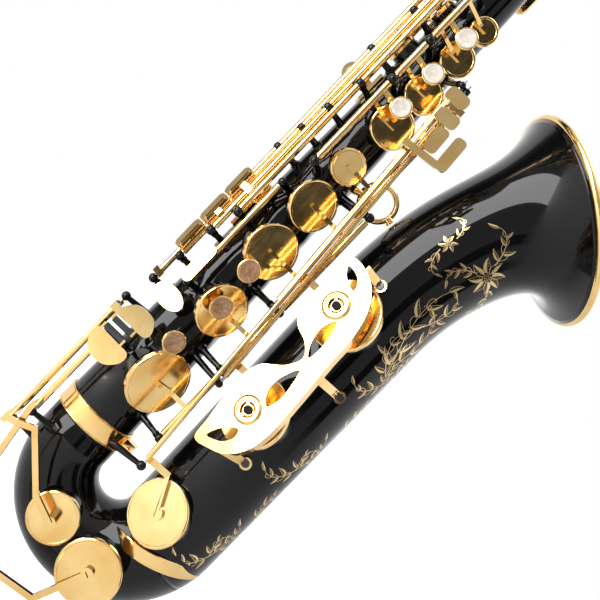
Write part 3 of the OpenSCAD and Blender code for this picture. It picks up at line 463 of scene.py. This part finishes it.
LEG_TOP = 180.0
FLARE = [Vector((LEG_GAP, LEG_TOP)), Vector((LEG_GAP, 236)), Vector((LEG_GAP + 16, 286)),
         Vector((LEG_GAP + 44, 320))]


def bezier(p, t):
    """Point on a cubic curve, and its direction."""
    a, b, c = mix(p[0], p[1], t), mix(p[1], p[2], t), mix(p[2], p[3], t)
    d, e = mix(a, b, t), mix(b, c, t)
    way = e - d
    return mix(d, e, t), math.atan2(way.y, way.x)


def flare_r(t):
    """Radius of the flare: a slow swell all the way, and the quick spread to the mouth."""
    start, swell = leg_r(LEG_TOP), 7.9
    return start + swell * t**1.7 + (MOUTH_R - start - swell) * t**9.5


def bell_station(s):
    """Station of the bell at s: 0 to 1 up the straight leg, 1 to 2 up the flare."""
    if s <= 1:
        z = mix(BOW_Z, LEG_TOP, s)
        return (LEG_GAP, z, math.pi / 2, leg_r(z), leg_r(z) - SHEET)
    p, a = bezier(FLARE, s - 1)
    r = flare_r(s - 1)
    return (p.x, p.y, a, r, r - SHEET)


def bell_point(s, angle, proud=0.0):
    """Point on the bell's outside; angle 0 faces away from the body tube, 90 the right side."""
    x, z, a, r, _ = bell_station(s)
    f = math.radians(angle)
    u, v = (r + proud) * math.cos(f), (r + proud) * math.sin(f)
    return place(x + u * math.sin(a), -v, z - u * math.cos(a))


def build_bow():
    """The bow's smooth skin, in place of its faceted CAD tube."""
    stations = [(0, -7.1, -math.pi / 2, BODY_R0, BODY_R0 - SHEET)]
    stations += [bow_station(BOW_END * i / 90) for i in range(91)]
    points, faces = swept(stations, 128)
    bow = add_piece("bow_skin", points, faces, "body", "black_lacquer")
    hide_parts("bow_tube")


def build_bell():
    """The bell's smooth skin, from the bow up to the mouth."""
    lower = [bow_station(mix(BOW_END, 180, i / 8)) for i in range(8)]
    leg = [bell_station(i / 24) for i in range(25)]
    flare = [bell_station(1 + i / 90) for i in range(1, 91)]
    points, faces = swept(lower + leg + flare, 160)
    bell = add_piece("bell_skin", points, faces, "body", "black_lacquer")
    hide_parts("bell")


def key_frame(z, angle, cx=0.0):
    """Matrix of a key's own frame: x round the tube, y up it, z straight out, in millimetres."""
    turn = Matrix.Rotation(math.radians(angle), 4, "Z") @ Matrix.Rotation(math.pi / 2, 4, "X")
    shift = Matrix.Translation((Vector((cx, 0, z)) - RING) / 1000)
    return shift @ Matrix.Scale(0.001, 4) @ turn


BELL_CUPS = [(-18, -28, 23.4), (77.5, -28, 26), (166.5, -28, 26)]  # height, angle, radius
BOW_CUPS = [(26.4, -69.7, 19, 34.6), (69.3, -76.3, 23.2, 36.6)]  # x, height, radius, seat
LIP_R = 0.75


def build_chimneys():
    """Drawn tone holes with rolled lips on the bow and the bell."""
    soup = Soup()
    holes = [(key_frame(z, a, LEG_GAP), r, leg_r(z), leg_r(z) + 2.6) for z, a, r in BELL_CUPS]
    holes += [(key_frame(z, 0, x), r, seat - 7, seat) for x, z, r, seat in BOW_CUPS]
    for matrix, cup_r, wall, top in holes:
        r = 0.87 * cup_r - 0.3
        profile = [(r + 2.2, wall - 8), (r + 1.3, wall - 1.5), (r + 0.95, wall + 0.4),
                   (r + 0.9, top - 0.9)]
        profile += [(r + 0.45 + LIP_R * math.cos(f), top - LIP_R + LIP_R * math.sin(f))
                    for f in (math.radians(step) for step in range(0, 181, 30))]
        profile += [(r - 0.1, top - 1.4), (r - 0.1, wall - 8)]
        soup.lathe(profile, matrix, 64)
    add_piece("tone_hole_chimneys", soup.points, soup.faces, "body", "black_lacquer")


build_bow()
build_bell()
build_chimneys()


NECK_FOOT = BODY_LEN + 26
NECK_LINE = [Vector((0, NECK_FOOT)), Vector((0, NECK_FOOT + 104)), Vector((-98, NECK_FOOT + 138)),
             Vector((-182, NECK_FOOT + 92))]
OCTAVE_AT, VENT_AT = 0.4, 0.2  # places along the neck
OCTAVE_RISE = 5.2
SADDLE_Y = 6


def add_neck_fittings(soup):
    """The octave vent, and the saddle of the neck key: two waisted posts and a pin."""

    def on_crown(t, y=0.0):
        """Frame in millimetres on top of the neck's line, and the neck's radius there."""
        p, a = bezier(NECK_LINE, t)
        out, along = Vector((math.sin(a), 0, -math.cos(a))), Vector((math.cos(a), 0, math.sin(a)))
        turn = Matrix((along, out.cross(along), out)).transposed().to_4x4()
        spot = Matrix.Translation(place(p.x, y, p.y))
        return spot @ Matrix.Scale(0.001, 4) @ turn, mix(NECK_R0, NECK_R1, t)

    def across(spot, wall):
        """Frame of the saddle's pin, with its z along the pin."""
        lifted = spot @ Matrix.Translation((0, 0, wall + OCTAVE_RISE))
        return lifted @ Matrix.Rotation(math.pi / 2, 4, "X")

    spot, wall = on_crown(VENT_AT)
    soup.lathe([(0.8, wall - 0.4), (3.0, wall - 0.4), (2.7, wall + 0.4), (2.5, wall + 1.9),
                (2.3, wall + 2.3), (0.8, wall + 2.3)], spot, 32, closed=True)
    for y in (-SADDLE_Y, SADDLE_Y):
        spot, wall = on_crown(OCTAVE_AT, y)
        soup.lathe([(0.05, wall - 2.6), (2.3, wall - 2.6), (1.9, wall - 0.4), (1.35, wall + 1),
                    (1.35, wall + 3.2), (0.05, wall + 4.4)], spot, 24)
        soup.lathe([(0.05, -1.5), (1.9, -1.5), (2.4, -1), (2.4, 1), (1.9, 1.5), (0.05, 1.5)],
                   across(spot, wall), 32)
    spot, wall = on_crown(OCTAVE_AT)
    soup.lathe([(0.05, -6.2), (1.1, -6.2), (1.1, 6.2), (0.05, 6.2)], across(spot, wall), 20)


TENON_R0, TENON_R1, COLLAR_R = 12.62, 13.02, 15


def build_neck():
    """The neck's skin on its smooth curve, with the tenon and its collar."""
    stations = []
    for i in range(73):
        t = i / 72
        p, a = bezier(NECK_LINE, t)
        r = mix(NECK_R0, NECK_R1, t)
        stations.append((p.x, p.y, a if a > 0 else a + 2 * math.pi, r, r - SHEET))
    points, faces = swept(stations, 72)
    soup = Soup()
    soup.add(points, faces)
    matrix = Matrix.Translation(place(0, 0, 0)) @ Matrix.Scale(0.001, 4)
    soup.lathe([(TENON_R0, BODY_LEN + 2), (TENON_R1, BODY_LEN + 2), (TENON_R1, BODY_LEN + 26.4),
                (COLLAR_R - 0.6, BODY_LEN + 26.4), (COLLAR_R, BODY_LEN + 27),
                (COLLAR_R, BODY_LEN + 30.6), (COLLAR_R - 0.6, BODY_LEN + 31.3),
                (TENON_R0, BODY_LEN + 31.3)], matrix, 72, closed=True)
    add_neck_fittings(soup)
    neck = add_piece("neck_skin", soup.points, soup.faces, "neck", "gold_lacquer")
    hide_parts("neck_tube")
    corners = neck.modifiers.new("corners", "EDGE_SPLIT")
    corners.split_angle = math.radians(40)


build_neck()


# ---- Trim -------------------------------------------------------------------------------------

GUARD_ANGLE, GUARD_H, GUARD_T = -31.0, 64.0, 1.8
BOSSES = [(7, 77.5), (1.3, 166.5)]
BOSS_R = 8.6
# Section of a boss's rim, from the boss's edge and the guard's top face
BOSS_RIM = [(-1.25, 1.15), (-1.0, 1.45), (-0.3, 1.45), (0.35, 1.1), (0.6, 0.4), (1.5, 0.12),
            (1.5, -0.1), (-1.25, -0.1)]
FERRULE_R, BEAD_R = BODY_R0 + 1.55, 0.62


def build_trim():
    """Turned rims round the guard's bumpers, and beads on the body ferrule."""
    rims = Soup()
    guard = key_frame(0, GUARD_ANGLE, LEG_GAP) @ Matrix.Translation((0, 0, GUARD_H))
    for x, y in BOSSES:
        rims.lathe([(BOSS_R + dr, GUARD_T + dh) for dr, dh in BOSS_RIM],
                   guard @ Matrix.Translation((x, y, 0)), 64, closed=True)
    foot = Matrix.Translation(place(0, 0, 0)) @ Matrix.Scale(0.001, 4)
    for z in (-14.1, -0.9):
        rims.lathe([(FERRULE_R + BEAD_R * math.cos(f), z + BEAD_R * math.sin(f))
                    for f in (2 * math.pi * i / 12 for i in range(12))], foot, 128, closed=True)
    add_piece("trim_rims", rims.points, rims.faces, "body", "gold_lacquer")


build_trim()


# ---- Engraving --------------------------------------------------------------------------
# Flowers and scrolling leaves cut through the lacquer, as thin strips of bare gold on the bell.

ENGRAVING_H = 0.06


class Engraving(Soup):
    """Drawn on the unrolled bell, in millimetres: x runs round it and y up it from a point."""

    def __init__(self, s0, angle0):
        super().__init__()
        self.s0, self.angle0 = s0, angle0

    def lift(self, p):
        """Plan point onto the bell's skin."""
        s = self.s0 + p[1] / (LEG_MM if self.s0 < 1 else FLARE_MM)
        if self.s0 < 1 < s:
            s = 1 + (s - 1) * LEG_MM / FLARE_MM
        elif s < 1 <= self.s0:
            s = 1 + (s - 1) * FLARE_MM / LEG_MM
        s = min(max(s, 0.0), 1.985)
        return bell_point(s, self.angle0 + math.degrees(p[0] / bell_station(s)[3]), ENGRAVING_H)

    def stroke(self, line, w0, w1=None):
        """A tapering strip along a line."""
        w1 = w0 if w1 is None else w1
        rows = []
        for i, p in enumerate(line):
            a, b = line[max(i - 1, 0)], line[min(i + 1, len(line) - 1)]
            way = (Vector(b) - Vector(a)).normalized()
            side = Vector((-way.y, way.x)) * mix(w0, w1, i / (len(line) - 1)) / 2
            rows.append((Vector(p) + side, Vector(p) - side))
        self.ribbon(rows)

    def ribbon(self, rows):
        """Faces between pairs of plan points."""
        points = [self.lift(q) for row in rows for q in row]
        self.add(points, [(2 * i, 2 * i + 1, 2 * i + 3, 2 * i + 2) for i in range(len(rows) - 1)])

    def leaf(self, root, heading, length, width, bend=0.22, cut=1):
        """A curved, pointed leaf: one half cut away to bright metal, the other drawn in outline."""
        n = 12
        rib, edges = [], {1: [], -1: []}
        for i in range(n + 1):
            t = i / n
            f = heading + bend * (t - 0.5) * 2.4
            if i == 0:
                x, y = root
            else:
                x += math.cos(f) * length / n
                y += math.sin(f) * length / n
            rib.append(Vector((x, y)))
            w = 0.02
            if 0 < t < 1:
                w = width / 2 * math.sin(math.pi * t**0.75) ** 0.9 * (1 - 0.25 * t)
            for side in (1, -1):
                edges[side].append(Vector((x - math.sin(f) * w * side, y + math.cos(f) * w * side)))
        halves = zip(rib[1:-1], edges[cut][1:-1])
        self.ribbon([(mix(r, e, 0.08), mix(r, e, 0.86)) for r, e in halves])
        self.stroke(edges[-cut], 0.34, 0.2)
        self.stroke(rib, 0.34, 0.14)
        for k in (3, 5, 7):
            self.stroke([rib[k], mix(rib[k + 1], edges[-cut][k + 1], 0.7)], 0.22, 0.12)

    def scroll(self, start, heading, length, curl, w=0.4, grow=2.1):
        """A stem that curls up at its end; returns its points."""
        line = [tuple(start)]
        x, y = start
        n = 26
        for i in range(n):
            t = i / n
            heading += math.radians(curl) * (0.25 + grow * t * t) / n
            x += math.cos(heading) * length / n * (1 - 0.4 * t)
            y += math.sin(heading) * length / n * (1 - 0.4 * t)
            line.append((x, y))
        self.stroke(line, w, 0.3)
        return line

    def vine(self, start, heading, length, curl, draw, leaves=5, size=0.3):
        """A scroll with leaves on alternate sides, tendrils opposite them and a leaf at its tip."""
        line = self.scroll(start, heading, length, curl, 0.75, 1.2)
        for i in range(leaves):
            k = 3 + int(i * (len(line) - 8) / leaves)
            a, b = line[k], line[k + 1]
            way = math.atan2(b[1] - a[1], b[0] - a[0])
            side = 1 if i % 2 else -1
            turn = side * math.radians(draw.uniform(38, 58))
            reach = length * size * draw.uniform(0.8, 1.15) * (1 - 0.4 * i / leaves)
            self.leaf(a, way + turn, reach, reach * 0.34, -side * 0.28, side)
            self.scroll(a, way - turn, reach * 1.3, side * draw.uniform(200, 290), 0.36)
        a, b = line[-2], line[-1]
        way = math.atan2(b[1] - a[1], b[0] - a[0])
        self.leaf(b, way, length * size * 0.7, length * size * 0.24, 0.2)
        return line

    def flower(self, centre, r, petals, turn):
        """An open flower of curved petals round a small ring."""
        for i in range(petals):
            f = turn + math.radians(360) * i / petals
            root = (centre[0] + math.cos(f) * r * 0.2, centre[1] + math.sin(f) * r * 0.2)
            self.leaf(root, f, r * 0.8, r * 0.42, 0.3, 1 if i % 2 else -1)
        for k in (0.16, 0.08):
            self.stroke([(centre[0] + math.cos(f) * r * k, centre[1] + math.sin(f) * r * k)
                         for f in (2 * math.pi * j / 14 for j in range(15))], 0.26)


LEG_MM = LEG_TOP - BOW_Z
FLARE_MM = 150.0
# Station on the leg and angle round it
LEG_SPRAYS = [(0.86, 36), (0.66, 18), (0.46, 40), (0.24, 26), (0.06, 44), (0.55, -12), (0.9, -8),
              (0.2, -14)]


def build_engraving():
    draw = random.Random(11)
    soup = Soup()

    def plate(s0, angle0, *calls):
        """Draws round a point of the bell: a station and an angle, as bell_point takes."""
        p = Engraving(s0, angle0)
        for call in calls:
            call(p)
        soup.add(p.points, p.faces)

    # The large spray: long stems up the throat to an open flower, with leaves down to the guard
    plate(0.98, 48,
          lambda p: p.vine((-4, -20), 1.05, 92, 70, draw, 6, 0.19),
          lambda p: p.vine((-2, -12), 1.9, 62, -150, draw, 4, 0.24),
          lambda p: p.vine((-4, -20), 0.5, 46, 150, draw, 4, 0.26),
          lambda p: p.vine((6, 22), 2.1, 44, -170, draw, 4, 0.26))
    plate(1.5, 62,
          lambda p: p.flower((0, 0), 15, 8, 0.4),
          lambda p: p.vine((6, 8), 1.1, 38, -170, draw, 4, 0.28),
          lambda p: p.vine((-8, -2), 3.3, 34, 170, draw, 3, 0.3),
          lambda p: p.vine((7, -6), 5.6, 30, -160, draw, 4, 0.3))
    plate(1.42, 108,
          lambda p: p.flower((0, 0), 6.5, 6, 0.1),
          lambda p: p.vine((0, 6), 1.3, 22, -190, draw, 3, 0.3),
          lambda p: p.vine((0, -6), 4.5, 24, -170, draw, 3, 0.3))
    plate(1.42, 8,
          lambda p: p.flower((0, 0), 10, 6, 0.9),
          lambda p: p.vine((0, 8), 1.7, 36, 140, draw, 4, 0.26),
          lambda p: p.vine((0, -8), 4.9, 40, -130, draw, 4, 0.26))
    # Down the outer side of the leg to the bow
    for i, (s0, angle) in enumerate(LEG_SPRAYS):
        side = 1 if i % 2 else -1
        plate(s0, angle,
              lambda p: p.vine((0, 0), 1.57 - 0.5 * side, 40, 130 * side, draw, 5, 0.27),
              lambda p: p.vine((0, 0), 1.57 + 2.6 * side, 34, -140 * side, draw, 4, 0.3),
              lambda p: p.vine((0, 0), 1.57 + 0.6 * side, 26, -170 * side, draw, 3, 0.3))
    add_piece("bell_engraving", soup.points, soup.faces, "body", "gold_lacquer", ENGRAVED)


build_engraving()


# ---- Stage --------------------------------------------------------------------------------

LOW, HIGH = CAD_BOX
FLOOR_Z = LOW.z - 0.002
FLOOR_R = 3.0
FLOOR_FADE = (1.2, 2.9)  # from solid to clear
FLOOR_GLOW = 0.7


def floor_material():
    """Pale paper that fades into the backdrop's white at a distance."""
    f = Finish("floor_paper")
    f.colour(f.ramp(f.noise(30, 4), (0.3, (0.72, 0.72, 0.72)), (0.7, (0.76, 0.76, 0.76))))
    f.set(Roughness=0.9)
    glow = f.surface.inputs["Emission Color"]
    glow.default_value = (1, 1, 1, 1)
    seen = f.tree.nodes.new("ShaderNodeLightPath").outputs["Is Camera Ray"]
    lit = f.tree.nodes.new("ShaderNodeMapRange")
    lit.inputs["To Max"].default_value = FLOOR_GLOW
    f.link(seen, lit.inputs["Value"])
    f.link(lit.outputs["Result"], f.surface.inputs["Emission Strength"])
    away = f.tree.nodes.new("ShaderNodeVectorMath")
    away.operation = "LENGTH"
    f.link(f.coords, away.inputs[0])
    fade = f.tree.nodes.new("ShaderNodeMapRange")
    fade.inputs["From Min"].default_value, fade.inputs["From Max"].default_value = FLOOR_FADE
    f.link(away.outputs["Value"], fade.inputs["Value"])
    clear = f.tree.nodes.new("ShaderNodeBsdfTransparent")
    both = f.tree.nodes.new("ShaderNodeMixShader")
    f.link(fade.outputs["Result"], both.inputs["Fac"])
    f.link(f.surface.outputs["BSDF"], both.inputs[1])
    f.link(clear.outputs["BSDF"], both.inputs[2])
    f.link(both.outputs["Shader"], f.tree.nodes["Material Output"].inputs["Surface"])
    return f.material


def build_floor():
    """A round sheet of paper under the bow."""
    soup = Soup()
    soup.lathe([(r, 0) for r in (0.001, 0.4, 1.0, 2.0, FLOOR_R)], None, 96)
    mesh = bpy.data.meshes.new("floor")
    mesh.from_pydata([tuple(p) for p in soup.points], [], soup.faces)
    mesh.materials.append(floor_material())
    floor = bpy.data.objects.new("floor", mesh)
    floor.location = ((LOW.x + HIGH.x) / 2, 0, FLOOR_Z)
    bpy.context.scene.collection.objects.link(floor)


def softbox(name, at, width, height, radiance):
    """A rectangular light that faces the origin; radiance is its brightness seen in a mirror."""
    data = bpy.data.lights.new(name, "AREA")
    data.shape = "RECTANGLE"
    data.size, data.size_y = width, height
    data.energy = radiance * math.pi * width * height
    light = bpy.data.objects.new(name, data)
    light.location = at
    light.rotation_euler = (-Vector(at)).to_track_quat("-Z", "Y").to_euler()
    light.visible_camera = False
    bpy.context.scene.collection.objects.link(light)


# Brightness of the studio's walls by direction, in degrees from the front towards the bell's side
WALLS = [(-180, 0.9), (-128, 0.9), (-122, 0.06), (-96, 0.05), (-92, 0.32), (-2, 0.40), (7, 0.44),
         (9, 0.03), (23, 0.03), (25, 0.50), (48, 0.50), (50, 0.04), (64, 0.04), (67, 0.95),
         (180, 0.95)]
ROOF, ROOF_EDGE = 0.8, (0.55, 0.75)  # brightness, and where it starts as the sine of the elevation
WALL_STRENGTH = 1.2


def build_world():
    """White to the eye, and a studio of pale walls and dark gaps for the gloss to mirror."""
    world = bpy.data.worlds.new("studio")
    bpy.context.scene.world = world
    world.use_nodes = True
    tree = world.node_tree
    tree.nodes.clear()
    new, link = tree.nodes.new, tree.links.new
    direction = new("ShaderNodeTexCoord")
    parts = new("ShaderNodeSeparateXYZ")
    link(direction.outputs["Generated"], parts.inputs[0])
    front = new("ShaderNodeMath")
    front.operation = "MULTIPLY"
    front.inputs[1].default_value = -1
    link(parts.outputs["Y"], front.inputs[0])
    turn = new("ShaderNodeMath")
    turn.operation = "ARCTAN2"
    link(parts.outputs["X"], turn.inputs[0])
    link(front.outputs[0], turn.inputs[1])
    remap = new("ShaderNodeMapRange")
    remap.inputs["From Min"].default_value = -math.pi
    remap.inputs["From Max"].default_value = math.pi
    link(turn.outputs[0], remap.inputs["Value"])
    ramp = new("ShaderNodeValToRGB")
    band = ramp.color_ramp
    while len(band.elements) < len(WALLS):
        band.elements.new(0.5)
    for element, (angle, level) in zip(band.elements, WALLS):
        element.position = (angle + 180) / 360
        element.color = (level, level, level, 1)
    link(remap.outputs["Result"], ramp.inputs["Fac"])
    height = new("ShaderNodeMapRange")
    height.inputs["From Min"].default_value, height.inputs["From Max"].default_value = ROOF_EDGE
    link(parts.outputs["Z"], height.inputs["Value"])
    roof = new("ShaderNodeMix")
    roof.data_type = "RGBA"
    link(height.outputs["Result"], roof.inputs["Factor"])
    link(ramp.outputs["Color"], roof.inputs[6])
    roof.inputs[7].default_value = (ROOF, ROOF, ROOF, 1)
    walls = new("ShaderNodeBackground")
    walls.inputs["Strength"].default_value = WALL_STRENGTH
    link(roof.outputs[2], walls.inputs["Color"])
    white = new("ShaderNodeBackground")
    white.inputs["Color"].default_value = (1, 1, 1, 1)
    path = new("ShaderNodeLightPath")
    both = new("ShaderNodeMixShader")
    link(path.outputs["Is Camera Ray"], both.inputs["Fac"])
    link(walls.outputs[0], both.inputs[1])
    link(white.outputs[0], both.inputs[2])
    out = new("ShaderNodeOutputWorld")
    link(both.outputs[0], out.inputs["Surface"])


CAMERA_AT, CAMERA_ROLL = (-3.7, -570, 137.4), 46.3


def build_camera():
    """Close on the right-hand side, rolled so that the body tube leans across the picture."""
    roll = math.radians(CAMERA_ROLL)
    right = Vector((math.sin(roll), 0, math.cos(roll)))
    up = Vector((-math.cos(roll), 0, math.sin(roll)))
    back = Vector((0, -1, 0))
    data = bpy.data.cameras.new("camera")
    data.lens, data.sensor_width = 47, 36
    data.shift_x, data.shift_y = 0.114, -0.055
    data.clip_start, data.clip_end = 0.01, 50
    camera = bpy.data.objects.new("camera", data)
    camera.matrix_world = Matrix((right, up, back)).transposed().to_4x4()
    camera.location = place(*CAMERA_AT)
    bpy.context.scene.collection.objects.link(camera)
    bpy.context.scene.camera = camera


build_floor()
build_world()
softbox("key_box", (-1.05, -0.75, 0.15), 1.05, 1.3, 8.5)
softbox("top_box", (0.3, 0.1, 1.5), 1.0, 0.8, 2.5)
build_camera()
bpy.context.scene.view_settings.view_transform = "Standard"
